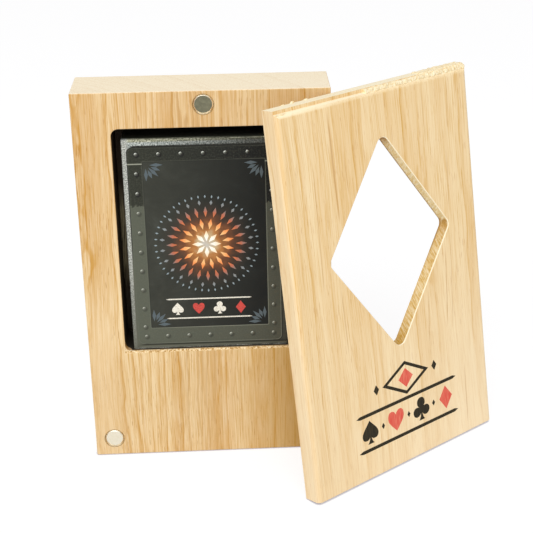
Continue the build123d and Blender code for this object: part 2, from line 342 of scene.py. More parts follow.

# %% [markdown]
# ## What the cutters left
# Broad faces are sanded, and places that a router or a saw shaped are not. The pocket is scorched behind a ragged
# golden lip, and deeper in it is painted nearly black, darkest low down, which is scorch and painted shade. The
# arris of its floor is crumbly, with pale specks that are partly a painted highlight. The window's walls are pale
# and torn, and scorched golden brown where the cutter turned; a brown line runs along their back arris, and their
# rubbed front arris gets a painted highlight. All of it is found by its place: a point is on the window's wall
# when its distances across and up from the window's middle, as shares of the half width and half height, add up
# to one or less.

# %% Walls of the pocket
POCKET_MIDDLE, POCKET_HALF = Vector((0, 0, 99)), Vector((36, 0, 49))
BLOCK_FRONT = -12.25
SLACK = 0.15    # a face still counts as reached that many millimetres before it
add, plank, fibre = block["add"], block["plank"], block["fibre"]
x, y, z = add("SeparateXYZ", plank).outputs
off = chain(add, "VectorMath", plank, ("SUBTRACT", POCKET_MIDDLE), ("ABSOLUTE",))
off = add("SeparateXYZ", off).outputs
in_x = add("Math", off["X"], POCKET_HALF.x + SLACK, operation="LESS_THAN")
in_z = add("Math", off["Z"], POCKET_HALF.z + SLACK, operation="LESS_THAN")
in_front = add("Math", y, 9.0, operation="LESS_THAN")
inside = product(add, in_x, in_z, in_front, (y, -12.2, -12.0))
# its first half millimetre is golden brown and ragged, on the floor and in its
# corner a little more; deeper in it is nearly black, darkest low down, which is scorch and painted shade
burnt = add("Math", fibre, 1.2, y, operation="MULTIPLY_ADD")
burnt = add("Math", block["facing"], -0.55, burnt, operation="MULTIPLY_ADD")
nook = product(add, (x, -33.0, -34.0, 0, -1.8), (z, 55.0, 53.0))
burnt = add("Math", burnt, nook, operation="ADD")
burnt = add("MapRange", burnt, -11.4, -10.9, 0.7, 0.97)
charred_and_shaded = add("MapRange", z, 50.0, 150.0)
charred_and_shaded = add("ValToRGB", charred_and_shaded, stops=[(0.1, "#080502"), (0.3, "#261808"), (0.95, "#2b1b0b")])
# the pocket's back is smoother and greyer between 71 and 119 mm, in streaks as wide as the fibres
charred_and_shaded = tinted(add, charred_and_shaded, "#ada17c", (z, 71, 83, 0, 0.85), (z, 119, 107), (fibre, 0.42, 0.56), (y, 4, 6))
scorch_and_shade_tint = tinted(add, "#b57f2c", charred_and_shaded, (burnt, 0.72, 0.92))
print("pocket", POCKET_HALF.x * 2, "by", POCKET_HALF.z * 2, "mm")

# %% A band of slow years, and a golden side in painted shade
# in the middle the tree grew slowly: there the rings are 1.5 mm apart, in a band that reaches from -14 to 2 mm
slow_years = chain(add, "Math", block["years"], ("DIVIDE", 1.5), ("FRACT",))
slow_years = add("ValToRGB", slow_years, stops=[(0.0, 0.12), (0.5, 0.2), (0.8, 0.62), (0.9, 0.62), (1.0, 0.12)])
colour = tinted(add, block["colour"], "#b98b4a", slow_years, (x, -17, -11), (x, 5, -1), (z, 10, 60, 0.45))
# golden towards the right foot and browner towards the foot, which is painted shade from the lid and at the
# foot; a little browner towards the top, and creamier low on the left
for tint, *parts in (("#bd9136", (x, 7, 36, 0, 0.65), (z, 50, 130, 1, 0.3)),
                     ("#b98242", (z, 70, 135, 0, 0.17)), ("#a9793d", (z, 52, 36, 0, 0.1)),
                     ("#f3dcb4", (x, -36, -44, 0, 0.35), (z, 85, 60)),
                     (block["colour"], block["end"]), (scorch_and_shade_tint, inside, burnt)):
    colour = tinted(add, colour, tint, *parts)
# the front arris of the pocket's floor is crumbly, in golden and pale specks of 0.7 mm; the pale specks are
# partly a painted highlight on the arris
crumbs_and_glints = add("TexNoise", plank, 1 / 0.7, 3.0, 0.7)
crumbs_and_glints = add("ValToRGB", crumbs_and_glints, stops=[(0.4, "#a8762c"), (0.5, "#efce92"), (0.6, "#fff2d3")])
colour = tinted(add, colour, crumbs_and_glints, in_x, (z, 48.9, 49.3, 0, 0.85), (z, 50.6, 50.2), (y, -11.5, -11.3, 1, 0))
print("slow years round x = -6 mm, golden from the middle to the right foot")

# %% Crushed, browned fibres round the bores
BORES = ((0.9, 157.4), (-43.25, 8.0), (43.25, 8.0))


def bored(add, plank, colour, face, inwards):
    """Browns a ring of 0.35 mm round each bore of 8.2 mm on the face at that y, in mm."""
    on_face = chain(add, "Math", add("SeparateXYZ", plank).outputs["Y"],
                    ("SUBTRACT", face), ("MULTIPLY", inwards), ("LESS_THAN", SLACK))
    for across, up in BORES:
        ring = from_axis(add, plank, across, up)
        colour = tinted(add, colour, "#80602c", (ring, 4.15, 4.55, 0.85, 0), on_face)
    return colour


colour = bored(add, plank, colour, BLOCK_FRONT, 1)
MIXED = 2    # the place of the colour among a Mix node's outputs
block_wood.node_tree.links.new(colour.outputs[MIXED], block["wood"].inputs["Base Color"])
print(len(BORES), "bores on the block's front")

# %% Walls of the window
WINDOW_MIDDLE = (0.85, 0, 97.1)
WINDOW_HALF = (34.0, 1.0, 46.8)
add, plank, fibre = lid["add"], lid["plank"], lid["fibre"]
x, y, z = add("SeparateXYZ", plank).outputs
off = chain(add, "VectorMath", plank, ("SUBTRACT", WINDOW_MIDDLE), ("DIVIDE", WINDOW_HALF), ("ABSOLUTE",))
off = add("SeparateXYZ", off).outputs
out = add("Math", off["X"], off["Z"], operation="ADD")
on_wall = product(add, add("Math", out, 1.004, operation="LESS_THAN"),
                  add("Math", y, -8.1, operation="GREATER_THAN"))
tear = add("Mapping", plank, Rotation=(0, 0, radians(22)))
tear = grains(add, tear, (0.5, 5, 7), 3.0, 0.7)
# walls that face down are painted paler than walls that face up: painted light, for the light they lack
looks_down = add("ValToRGB", tear, stops=[(0.32, "#e9cb8a"), (0.5, "#f8e5b4"), (0.68, "#fff5d8")])
looks_up = add("ValToRGB", tear, stops=[(0.36, "#d2a85c"), (0.5, "#ebcf97"), (0.64, "#f8e8c4")])
wall = tinted(add, looks_down, looks_up, add("Math", lid["facing"], 0.0, operation="GREATER_THAN"))
# the cutter burnt the corners, where it turned: golden brown below, at the sides and at the top
level = product(add, ((tear, 4.0, z), 52.0, 152.0))
scorch = add("ValToRGB", level,
             stops=[(0.03, 0.75), (0.08, 0.45), (0.17, 0.19), (0.3, 0.24), (0.37, 0.26), (0.42, 0.4),
                    (0.455, 0.8), (0.485, 0.85), (0.492, 0.0), (0.8, 0.0), (0.87, 0.15), (0.895, 0.6),
                    (0.912, 1.0)])
scorch_tint = add("ValToRGB", level, stops=[(0.05, "#b98a14"), (0.26, "#cda447"), (0.45, "#b98c40"),
                                            (0.85, "#c19236"), (0.91, "#a06c12")])
wall = tinted(add, wall, scorch_tint, scorch, (tear, 0.62, 0.4, 0.7, 1.15))
# a brown line of 0.7 mm runs along the back arris, from the side corners up
wall = tinted(add, wall, "#966a1e", ((tear, 2.4, y), -2.9, -2.2, 0, 0.75), (z, 80, 90, 0.15))
print("window", WINDOW_HALF[0] * 2, "by", WINDOW_HALF[2] * 2, "mm")

# %% The lid's tones
# the plank is paler towards its foot, most of all on the right, and its left side face is painted creamier:
# painted light on that face
colour = tinted(add, lid["colour"], "#fdebcb", (z, 5, 95, 1, 0), (x, -25, 40, 0.3, 0.62))
colour = tinted(add, colour, "#f8e9cf", (x, -51, -51.5, 0, 0.24))
# its sawn top and the torn step below it are paler where they face up: pale torn end grain, and painted
# light from above; the quarter round in front of the step gets that only at its left end
ledge = add("Math", product(add, (y, -6.6, -6.3)), product(add, (x, -46, -16, 1.3, 0.5)), operation="MAXIMUM")
colour = tinted(add, colour, "#fff3d2", ((fibre, 0.5, lid["facing"]), 0.35, 0.75, 0, 0.6),
                (z, 158.5, 159.5), ledge)
colour = tinted(add, colour, wall, on_wall)
# the window's eased front arris, which faces neither front nor inwards, is painted pale, most on its right:
# rubbed fibre, and a painted highlight where it catches the light
arris = add("VectorMath", lid["normal"], lid_place.to_3x3() @ Vector((0, -1, 0)), operation="DOT_PRODUCT")
colour = tinted(add, colour, "#fff4d8", (arris, 0.99, 0.95), add("Math", out, 1.03, operation="LESS_THAN"),
                add("Math", y, -8.08, operation="LESS_THAN"), (x, -2, 2, 0.25, 0.9))
# darker lines: x at the lower and the upper end, the heights of these ends, half the width, the strength
FADE = 7    # each comes and goes over that many millimetres
LINES = ((-25.8, -26.6, 112, 158, 0.55, 0.62), (-37.4, -36.4, 86, 138, 0.4, 0.37),
         (-28.0, -28.6, 56, 87, 0.4, 0.45), (-19.6, -20.4, 121, 141, 0.36, 0.4),
         (29.0, 31.4, 52, 88, 0.4, 0.5), (32.2, 34.8, 50, 92, 0.36, 0.35),
         (36.8, 37.2, 2, 33, 0.4, 0.42), (35.2, 36.4, 101, 130, 0.4, 0.35),
         (37.6, 39.8, 134, 160, 0.36, 0.3), (17.2, 19.4, 46, 72, 0.4, 0.42), (24.6, 24.2, 136, 160, 0.36, 0.27))
for low_x, high_x, low_end, high_end, wide, depth in LINES:
    lean = (high_x - low_x) / (high_end - low_end)
    side = add("Math", z, -lean, x, operation="MULTIPLY_ADD")
    side = chain(add, "Math", fibre, ("MULTIPLY_ADD", 0.7, side), ("ADD", lean * low_end - low_x - 0.35))
    colour = tinted(add, colour, "#b98131", (side, -wide, -0.3 * wide, 0, depth), (side, wide, 0.3 * wide),
                    (z, low_end, low_end + FADE), (z, high_end, high_end - FADE))
colour = bored(add, plank, colour, LID_BACK, -1)
lid_wood.node_tree.links.new(colour.outputs[MIXED], lid["wood"].inputs["Base Color"])
print(len(LINES), "darker lines in the lid's grain")

# %% [markdown]
# ## Nickel on the magnets
# Magnets of this kind would rust, so they are plated with nickel, a warm silver metal. The top one's face is
# painted a dark olive, which is a painted reflection of the dark surroundings that it faces, and every magnet's
# bevelled rim gets a painted highlight. Plating has no grain, so the only pattern is a mottle of patches 1 to 2
# mm across. A metal keeps Blender's own IOR.

# %% Nickel plate
def nickel_plate(name, face, patch_tint, rough):
    """Nickel plate: a face mottled in two tints, and a painted highlight on its bevelled rim."""
    finish, add = new_finish(name)
    where = add("TexCoord").outputs
    mottle = grains(add, where["Object"], [1 / 700] * 3, 4.0, 0.6)
    colour = add("ValToRGB", mottle, stops=[(0.3, face), (0.7, patch_tint)])
    turned = add("SeparateXYZ", add("VectorMath", where["Normal"], operation="ABSOLUTE")).outputs
    # a painted highlight on the bevelled rim, where the surface turns away from the face
    rim = [product(add, (turned[axis], 0.2, 0.35)) for axis in "XZ"]
    colour = tinted(add, colour, "#fffcf2", add("Math", *rim, operation="MAXIMUM"))
    roughness = add("MapRange", mottle, To_Min=rough, To_Max=rough + 0.2)
    add("OutputMaterial", add("BsdfPrincipled", colour, Metallic=1.0, Roughness=roughness))
    return finish


bright = nickel_plate("nickel_plate_bright", "#e9e2cf", "#e2dac4", 0.3)
# the top magnet's dark olive is a painted reflection of the dark surroundings that its face looks at
dark_reflection_plate = nickel_plate("nickel_plate_dark_reflection", "#85836c", "#6a6856", 0.35)
for word, finish in (("lid_magnet", bright), ("case_magnet", bright), ("case_magnet_top", dark_reflection_plate)):
    dress(word, finish)

# %% [markdown]
# ## The carton
# A tuck box is one sheet of printed and varnished card board, folded round the deck. Its ink is dark, and on the
# folds it cracks and the pale board shows, so edges are worn to a silvery, grainy line. Every edge gets that wear
# in the same way: of the three distances from a point to the box's walls one is nearly zero, and the middle one
# of the three is the distance to the nearest edge.
# The front is printed like a riveted steel plate round a picture. The picture here is this lesson's own: smoke
# with a warm glow, on which an ornament is laid later.

# %% Printed board
CARTON_SIZE = Vector((65.0, 16.6, 92.8))
CARTON_PLACE = Matrix.Translation(Vector((0, -10.05, 50.05)) * MM)
board, add = new_finish("printed_varnished_board")
# millimetres from the carton's front face, at the middle of its foot: x across, y deep, z up
spot = own_way(add, CARTON_PLACE, 1, 1, 1)
half = CARTON_SIZE / 2
inward = chain(add, "VectorMath", spot, ("SUBTRACT", (0, half.y, half.z)), ("ABSOLUTE",),
               ("MULTIPLY_ADD", (-1, -1, -1), half))
inward = add("SeparateXYZ", inward).outputs
less = add("Math", inward["X"], inward["Y"], operation="MINIMUM")
to_edge = chain(add, "Math", inward["X"], ("MAXIMUM", inward["Y"]), ("MINIMUM", inward["Z"]), ("MAXIMUM", less))
x, y, z = add("SeparateXYZ", spot).outputs
# grains of 0.7 mm, which is as fine as shows from here, and patches of 8 mm where the wear is stronger
grain = add("TexNoise", spot, 1 / 0.7, 4.0, 0.75)
patch = add("TexNoise", spot, 1 / 8, 2.0)
print("carton", [round(v, 2) for v in CARTON_SIZE], "mm")

# %% Wear: a thin line on every edge, two broad bands and a corner
thin = product(add, ((grain, 0.7, to_edge), 0.5, 0.75, 0.8, 0), (patch, 0.4, 0.6, 0.15))
# the crushed fold along the top front edge: 2.3 mm wide, strong at its left end and fading to the right: worn
# board, and a painted highlight on the rounded fold
crushed_fold_and_highlight = product(add, ((grain, 1.2, z), 90.7, 91.1), (y, 0.9, 2.2, 1, 0), (x, -30, 18, 1, 0.15))
# the left front edge: 2.2 mm wide at the top and 1.5 mm lower down
reach = product(add, (z, 20, 88, 1.5, 2.2))
fine = add("TexNoise", spot, 1 / 0.5, 4.0, 0.8)
rubbed = chain(add, "Math", x, ("ADD", half.x), ("DIVIDE", reach))
rubbed = product(add, ((fine, 0.5, rubbed), 1.18, 1.32, 1, 0), (y, 0.8, 1.8, 1, 0), (z, 4, 42, 0.15))
# the upper left corner is rubbed bare for 5 mm round, up to the plate
corner = from_axis(add, spot, -half.x, CARTON_SIZE.z)
wear_and_highlight = product(add, ((fine, 2.0, corner), 5.4, 6.2, 0.85, 0), (y, 0.8, 1.8, 1, 0))
wear_and_highlight = chain(add, "Math", wear_and_highlight, *[("MAXIMUM", wear) for wear in (thin, crushed_fold_and_highlight, rubbed)])
# bare board is olive along the top arris, and cool grey elsewhere
olive_bare, grey_bare = [add("ValToRGB", grain, stops=list(zip((0.38, 0.46, 0.54, 0.64), tints)))
                         for tints in (("#45463a", "#7f8069", "#b6b79e", "#f2f3e2"),
                                       ("#525855", "#858d8a", "#b4bcb9", "#f4f8f5"))]
cool_bare = add("ValToRGB", fine, stops=[(0.36, "#4d4f4a"), (0.5, "#a0a39d"), (0.62, "#e6e9e4")])
bare = tinted(add, cool_bare, grey_bare, (z, 88.5, 89.5), (x, -30.6, -29.4))
bare = tinted(add, bare, olive_bare, ((grain, 0.8, z), 91.9, 92.5), (x, -30.6, -29.4))
# the soil beside the plate is thin low down, most of all on the left
soil = add("ValToRGB", grain, stops=[(0.4, "#20211c"), (0.7, "#34352e")])
soil = tinted(add, soil, "#5c5e52", (z, 36, 50, 1, 0), (x, -28, 30, 1, 0.35))
ink = tinted(add, soil, bare, wear_and_highlight)
print("wear is 2.3 mm wide at the top and 1.5 to 2.2 mm at the left")

# %% The printed plate: two rounded rectangles give all its lines
def from_rectangle(across, up, half_x, half_z, corner):
    """Millimetres from a rounded rectangle on the carton's front, negative inside it."""
    away = chain(add, "VectorMath", spot, ("SUBTRACT", (across, 0, up)), ("MULTIPLY", (1, 0, 1)), ("ABSOLUTE",),
                 ("SUBTRACT", (half_x - corner, 0, half_z - corner)), ("MAXIMUM", (0, 0, 0)), ("LENGTH",))
    return add("Math", away, corner, operation="SUBTRACT")


plate_edge = from_rectangle(0, 45.7, 30.5, 43.9, 2.5)
picture_edge = from_rectangle(0, 46.5, 24.7, 37.0, 0.4)
front = add("Math", y, 0.3, operation="LESS_THAN")
on_plate, on_picture = [product(add, add("Math", edge, 0.0, operation="LESS_THAN"), front)
                        for edge in (plate_edge, picture_edge)]
# the strips are darker above a ragged line at 64.5 mm, as if soot had run down them, and darker to the right
ragged = add("TexNoise", spot, 1 / 2.2, 3.0, 0.7)
sooty = product(add, ((ragged, 5.0, z), 66.8, 67.2))
to_right = product(add, (x, -30, 20))
sooted = tinted(add, "#2b2d24", "#0c0d09", to_right)
bared = tinted(add, "#565a4e", "#4d4f44", to_right)
strip = tinted(add, bared, sooted, sooty)
strip = tinted(add, strip, "#85887a", (grain, 0.48, 0.72, 0, 0.16))
ink = tinted(add, ink, strip, on_plate)
print("plate 61.0 by 87.8 mm, picture 49.4 by 74.0 mm")

# %% The picture's ground: smoke, and a glow
GLOW = (0.0, 47.0)
smoke = add("TexNoise", spot, 1 / 13, 5.0, 0.6, Distortion=0.8)
left_smoke = add("ValToRGB", smoke, stops=[(0.3, "#3e4037"), (0.54, "#484a41"), (0.72, "#565950")])
right_smoke = add("ValToRGB", smoke, stops=[(0.34, "#080a07"), (0.56, "#10120e"), (0.74, "#1d211e")])
smoke = tinted(add, left_smoke, right_smoke, to_right)
flicker = add("TexNoise", spot, 1 / 4, 4.0)
away = product(add, ((flicker, 9.0, from_axis(add, spot, *GLOW)), 4.5, 29.0))
heat = add("ValToRGB", away, stops=[(0.0, "#fffaf0"), (0.13, "#ffe2b0"), (0.24, "#e79a52"), (0.4, "#a0603a"),
                                    (0.6, "#5b4436"), (0.85, "#3b3832")])
picture = tinted(add, heat, smoke, (away, 0.25, 0.85))
ink = tinted(add, ink, picture, on_picture)
print("glow at", GLOW)

# %% Lines on the plate
def ruled(ink, distance, there, wide, tint, *share):
    """Draws a line of that width in mm where a distance has that value."""
    return tinted(add, ink, tint, (distance, there - 0.7 * wide, there - 0.3 * wide),
                  (distance, there + 0.7 * wide, there + 0.3 * wide), front, *share)


# pressed edges catch the light at the lower right and lie in shade at the upper left
lower_right = product(add, ((z, -0.6, x), -38, -6, 0.12, 0.9))
low_left = product(add, (z, 40, 50, 1, 0), (x, -29, -26, 1, 0))
for line in ((plate_edge, 0, 0.4, "#12130f", (low_left, 0, 1, 0.75, 0)),
             (z, 1.7, 0.9, "#26271f", (x, -30.5, -28, 0, 0.55)),
             (z, 0.8, 0.6, "#7b7e70", (x, -30.5, -28, 0, 0.45)),
             (plate_edge, -0.42, 0.3, "#868a7c", lower_right, 0.6),
             (picture_edge, -0.25, 0.35, "#1b1c18", 0.65),
             (picture_edge, 0.15, 0.3, "#8b8f80", lower_right, 0.7)):
    ink = ruled(ink, *line)
print("lines 0.3 to 0.9 mm wide on the plate")

# %% The rivets' shades, and the ends of the strips
# their steps along the short and the long sides, and the height of a long side's first rivet
STEP_ACROSS, STEP_UP, FIRST_UP = 8.93, 8.53, 10.0
RIVET_SIDE, RIVET_FOOT, RIVET_TOP = 27.1, 5.5, 86.5


def from_rivets(across, up):
    """Millimetres from the nearest rivet, for a pattern that is shifted by that much."""
    step_x = chain(add, "Math", x, ("SUBTRACT", across), ("WRAP", STEP_ACROSS / 2, -STEP_ACROSS / 2))
    step_z = chain(add, "Math", z, ("SUBTRACT", up + FIRST_UP), ("WRAP", STEP_UP / 2, -STEP_UP / 2))
    sides = chain(add, "Math", x, ("SUBTRACT", across), ("ABSOLUTE",), ("SUBTRACT", RIVET_SIDE))
    ends = chain(add, "Math", z, ("SUBTRACT", up + (RIVET_TOP + RIVET_FOOT) / 2), ("ABSOLUTE",),
                 ("SUBTRACT", (RIVET_TOP - RIVET_FOOT) / 2))
    lengths = [add("VectorMath", add("CombineXYZ", *pair), operation="LENGTH")
               for pair in ((step_x, ends), (sides, step_z))]
    return add("Math", *lengths, operation="MINIMUM")


# each rivet's printed shade lies a quarter of a millimetre to its lower right
beside = add("Math", on_plate, on_picture, operation="SUBTRACT")
ink = tinted(add, ink, "#0c0d0a", (from_rivets(0.28, -0.28), 0.8, 1.3, 0.85, 0), front, beside,
             (sooty, 0, 1, 0.45))
# a groove under the top strip
ink = ruled(ink, z, 82.5, 0.45, "#a4a798", beside, 0.8)
sheen = product(add, (grain, 0, 1, 0.34, 0.55))
bump = add("Bump", Height=grain, Strength=0.35, Distance=0.05 * MM)
varnished = add("BsdfPrincipled", ink, Roughness=sheen, Normal=bump, IOR=1.5, Specular_IOR_Level=0.22)
add("OutputMaterial", varnished)
dress("tuck", board)

# %% Card stock: cut edges in layers of 0.29 mm
stock, add = new_finish("coated_card_stock")
layers = grains(add, add("TexCoord").outputs["Object"], (1 / 40, 1 / 3500, 1 / 40), 2.0)
edge = add("ValToRGB", layers, stops=[(0.35, "#dedacd"), (0.65, "#f4f2ea")])
add("OutputMaterial", add("BsdfPrincipled", edge, Roughness=0.45, IOR=1.5))
dress("cards", stock)

# %% [markdown]
# ## Pieces made by hand
# The rest is small: rivets, ornaments and torn fibres. Each starts as a plain primitive that is shaped in edit
# mode, gets its modifiers applied, and then has its place written into its mesh, so that its object stays at
# the origin as the CAD nodes do. The last helper does that, and names the finish and the body it rides on.

# %% Helpers for pieces
def alone(piece):
    """Makes one object the only selected and active one."""
    bpy.ops.object.select_all(action="DESELECT")
    piece.select_set(True)
    bpy.context.view_layer.objects.active = piece


def started(primitive, **settings):
    """A new piece at the origin, with nothing else selected."""
    bpy.ops.object.select_all(action="DESELECT")
    primitive(location=(0, 0, 0), **settings)
    return bpy.context.object


def apply_modifier(piece, kind, **settings):
    """Adds a modifier with its settings and applies it."""
    alone(piece)
    modifier = piece.modifiers.new(kind.lower(), kind)
    for name, value in settings.items():
        setattr(modifier, name, value)
    bpy.ops.object.modifier_apply(modifier=modifier.name)


def moved(across, up, out=0):
    """A shift by that many millimetres, as a matrix."""
    return Matrix.Translation(Vector((across, up, out)) * MM)


def copied(first, places):
    """Copies of a piece at those places, instead of the piece itself."""
    copies = []
    for place in places:
        copy = bpy.data.objects.new(first.name, first.data.copy())
        copy.data.transform(place)
        scene.collection.objects.link(copy)
        copies.append(copy)
    bpy.data.objects.remove(first)
    return copies


def joined(pieces):
    """Several meshes as one piece."""
    alone(pieces[0])
    for piece in pieces:
        piece.select_set(True)
    bpy.ops.object.join()
    return pieces[0]


def finish_piece(piece, name, place, finish, body):
    """Writes the piece's place into its mesh, and gives it its finish and its body."""
    piece.data.transform(place @ piece.matrix_world)
    piece.matrix_world = Matrix.Identity(4)
    piece.name = name
    piece.data.name = name
    piece.data.materials.clear()
    piece.data.materials.append(finish)
    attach(piece, body)
    print(name, len(piece.data.polygons), "faces, rides on", body)


# a print's own directions: x across, y up, z out of the surface
CARTON_FACE = CARTON_PLACE @ Matrix.Rotation(pi / 2, 4, "X")
LID_FACE = lid_place @ moved(0, LID_FRONT) @ Matrix.Rotation(pi / 2, 4, "X")
print("a print on the lid looks to", [round(v, 3) for v in LID_FACE.to_3x3() @ Vector((0, 0, 1))])

# %% [markdown]
# ## Rivets on the printed plate
# Rivets run round the plate in even steps. They are embossed in the board a quarter of a millimetre high, and
# the print helps: each has a light spot at its upper left and a dark one at its lower right. So the ink's tint
# follows the way the dome's surface looks. One dome is made from a sphere that is cut through, then copied.

# %% Rivets
dome = started(bpy.ops.mesh.primitive_uv_sphere_add, segments=20, ring_count=12, radius=1.25 * MM)
bpy.ops.object.mode_set(mode="EDIT")
bpy.ops.mesh.select_all(action="SELECT")
bpy.ops.mesh.bisect(plane_co=(0, 0, 0.88 * MM), plane_no=(0, 0, 1), clear_inner=True, use_fill=True)
bpy.ops.mesh.select_all(action="SELECT")
bpy.ops.transform.translate(value=(0, 0, -0.95 * MM))
bpy.ops.object.mode_set(mode="OBJECT")
alone(dome)
bpy.ops.object.shade_smooth_by_angle(angle=radians(50))
rows = [(i * STEP_ACROSS, end) for i in range(-3, 4) for end in (RIVET_FOOT, RIVET_TOP)]
columns = [(side * RIVET_SIDE, FIRST_UP + i * STEP_UP) for side in (-1, 1) for i in range(9)]
domes = copied(dome, [moved(*middle) for middle in rows + columns])

pressed, add = new_finish("embossed_rivet_ink")
where = add("TexCoord").outputs
# 1 where the dome looks up to the left, 0 where it looks down to the right
looks = add("VectorMath", where["Normal"], (-0.62, -0.1, 0.78), operation="DOT_PRODUCT")
looks = product(add, (looks, -0.5, 0.7))
on_soot = add("ValToRGB", looks,
              stops=[(0.2, "#15160f"), (0.45, "#44463e"), (0.76, "#71746a"), (0.95, "#e0e3da")])
on_bare = add("ValToRGB", looks,
              stops=[(0.16, "#3c3e35"), (0.42, "#585b4f"), (0.76, "#6b6e62"), (0.96, "#c3c6b9")])
tint = tinted(add, on_bare, on_soot, (add("SeparateXYZ", where["Object"]).outputs["Z"], 0.114, 0.116))
add("OutputMaterial", add("BsdfPrincipled", tint, Roughness=0.35, IOR=1.5))
finish_piece(joined(domes), "carton_rivets", CARTON_FACE, pressed, "deck")

# %% [markdown]
# ## Suit pips
# The four suits are drawn as flat Bezier outlines, one unit high, which Blender fills and makes 0.08 mm thick.
# Half of that is sunk in the surface, so a pip looks like a layer of ink. A point is its place and its two
# handles; only the right half is written, and the left half is its mirror image.

# %% The outlines of the pips
HEART = [((0.0, -0.5), (-0.05, -0.42), (0.05, -0.42)), ((0.46, 0.12), (0.44, -0.1), (0.48, 0.34)),
         ((0.24, 0.46), (0.38, 0.47), (0.1, 0.45)), ((0.0, 0.24), (0.02, 0.34), (-0.02, 0.34))]
SPADE = [((0.0, -0.5), (-0.08, -0.5), (0.08, -0.5)), ((0.17, -0.5), (0.12, -0.5), (0.12, -0.46)),
         ((0.035, -0.2), (0.05, -0.34), (0.05, -0.26)), ((0.24, -0.32), (0.11, -0.33), (0.38, -0.32)),
         ((0.43, -0.08), (0.44, -0.21), (0.42, 0.1)), ((0.0, 0.5), (0.06, 0.38), (-0.06, 0.38))]
CLUB = [((0.0, -0.5), (-0.08, -0.5), (0.08, -0.5)), ((0.17, -0.5), (0.12, -0.5), (0.12, -0.46)),
        ((0.035, -0.17), (0.05, -0.34), (0.06, -0.24)), ((0.24, -0.33), (0.11, -0.32), (0.37, -0.33)),
        ((0.46, -0.11), (0.46, -0.23), (0.46, 0.02)), ((0.24, 0.1), (0.37, 0.11), (0.2, 0.1)),
        ((0.13, 0.08), (0.16, 0.09), (0.2, 0.14)), ((0.22, 0.28), (0.22, 0.2), (0.22, 0.41)),
        ((0.0, 0.5), (0.12, 0.5), (-0.12, 0.5))]
DIAMOND = [((0.0, -0.5), (-0.03, -0.46), (0.03, -0.46)), ((0.36, 0.0), (0.32, -0.05), (0.32, 0.05)),
           ((0.0, 0.5), (0.03, 0.46), (-0.03, 0.46))]
print("points", [len(outline) for outline in (HEART, SPADE, CLUB, DIAMOND)])

# %% A pip from its outline
INK = 0.08 * MM


def pip(outline, high, across, up):
    """A flat pip of that height in mm, at that place of a print."""
    left = [((-p[0], p[1]), (-h2[0], h2[1]), (-h1[0], h1[1])) for p, h1, h2 in reversed(outline[1:-1])]
    drawn = started(bpy.ops.curve.primitive_bezier_circle_add)
    drawn.data.dimensions = "2D"
    drawn.data.fill_mode = "BOTH"
    drawn.data.resolution_u = 6
    line = drawn.data.splines[0]
    line.bezier_points.add(len(outline) + len(left) - len(line.bezier_points))
    for point, (middle, before, after) in zip(line.bezier_points, outline + left):
        point.handle_left_type = point.handle_right_type = "FREE"
        point.co = (*middle, 0)
        point.handle_left = (*before, 0)
        point.handle_right = (*after, 0)
    drawn.data.extrude = INK / 2 / (high * MM)
    alone(drawn)
    bpy.ops.object.convert(target="MESH")
    drawn = bpy.context.object
    drawn.data.transform(moved(across, up) @ Matrix.Scale(high * MM, 4))
    return drawn


print("ink is", round(INK / MM, 2), "mm thick, half of it above the surface")

# %% Lozenges and rules, from circles of few corners
def lozenge(across, up, wide, high, line=0.0):
    """A flat lozenge at that place of a print, solid, or an outline of that line width in mm."""
    flat = started(bpy.ops.mesh.primitive_circle_add, vertices=4, radius=1, fill_type="NGON")
    flat.data.transform(Matrix.Diagonal((wide / 2 * MM, high / 2 * MM, 1, 1)))
    bpy.ops.object.mode_set(mode="EDIT")
    bpy.ops.mesh.select_all(action="SELECT")
    if line:
        bpy.ops.mesh.inset(thickness=line * MM)
        bpy.ops.mesh.delete(type="FACE")
    bpy.ops.object.mode_set(mode="OBJECT")
    apply_modifier(flat, "SOLIDIFY", thickness=INK, offset=0.0)
    flat.data.transform(moved(across, up))
    return flat


def rule(across, up, long, thick):
    """A flat rule that tapers over its last 7 % to both ends."""
    flat = started(bpy.ops.mesh.primitive_circle_add, vertices=6, radius=1, fill_type="NGON")
    flat.data.transform(Matrix.Diagonal((long / 2 * MM, thick / 3 ** 0.5 * MM, 1, 1))
                        @ Matrix.Rotation(pi / 2, 4, "Z"))
    for corner in flat.data.vertices:
        if abs(corner.co.x) < long * 0.49 * MM:
            corner.co.x = 0.93 * long / 2 * MM * (1 if corner.co.x > 0 else -1)
    apply_modifier(flat, "SOLIDIFY", thickness=INK, offset=0.0)
    flat.data.transform(moved(across, up))
    return flat


print("a lozenge has 4 corners and a rule 6")

# %% [markdown]
# ## The print on the lid
# Low on the lid stands a print, 59 mm wide and 31 mm high, in dark olive-brown and coral ink. On open-grained
# wood ink isn't even: the pores take more of it, so the long fibres break it up. The design is plain: the four
# suits in a row between two rules, under an outlined lozenge like the window.

# %% Inks
def ink_on_wood(name, tint, faded):
    """Pad-printed ink that the grain breaks up, in streaks 0.5 mm wide and 6 mm long."""
    finish, add = new_finish(name)
    uneven = add("TexNoise", own_way(add, lid_place, 0.5, 0.5, 6), 1.0, 3.0, 0.6)
    colour = add("ValToRGB", uneven, stops=[(0.4, tint), (0.75, faded)])
    dry = add("MapRange", uneven, To_Min=0.55, To_Max=0.75)
    add("OutputMaterial", add("BsdfPrincipled", colour, Roughness=dry, Specular_IOR_Level=0.2))
    return finish


olive_ink = ink_on_wood("olive_black_ink_on_oak", "#1d190e", "#3d3520")
coral_ink = ink_on_wood("coral_ink_on_oak", "#dc5347", "#e88a72")
print("inks", olive_ink.name, coral_ink.name)

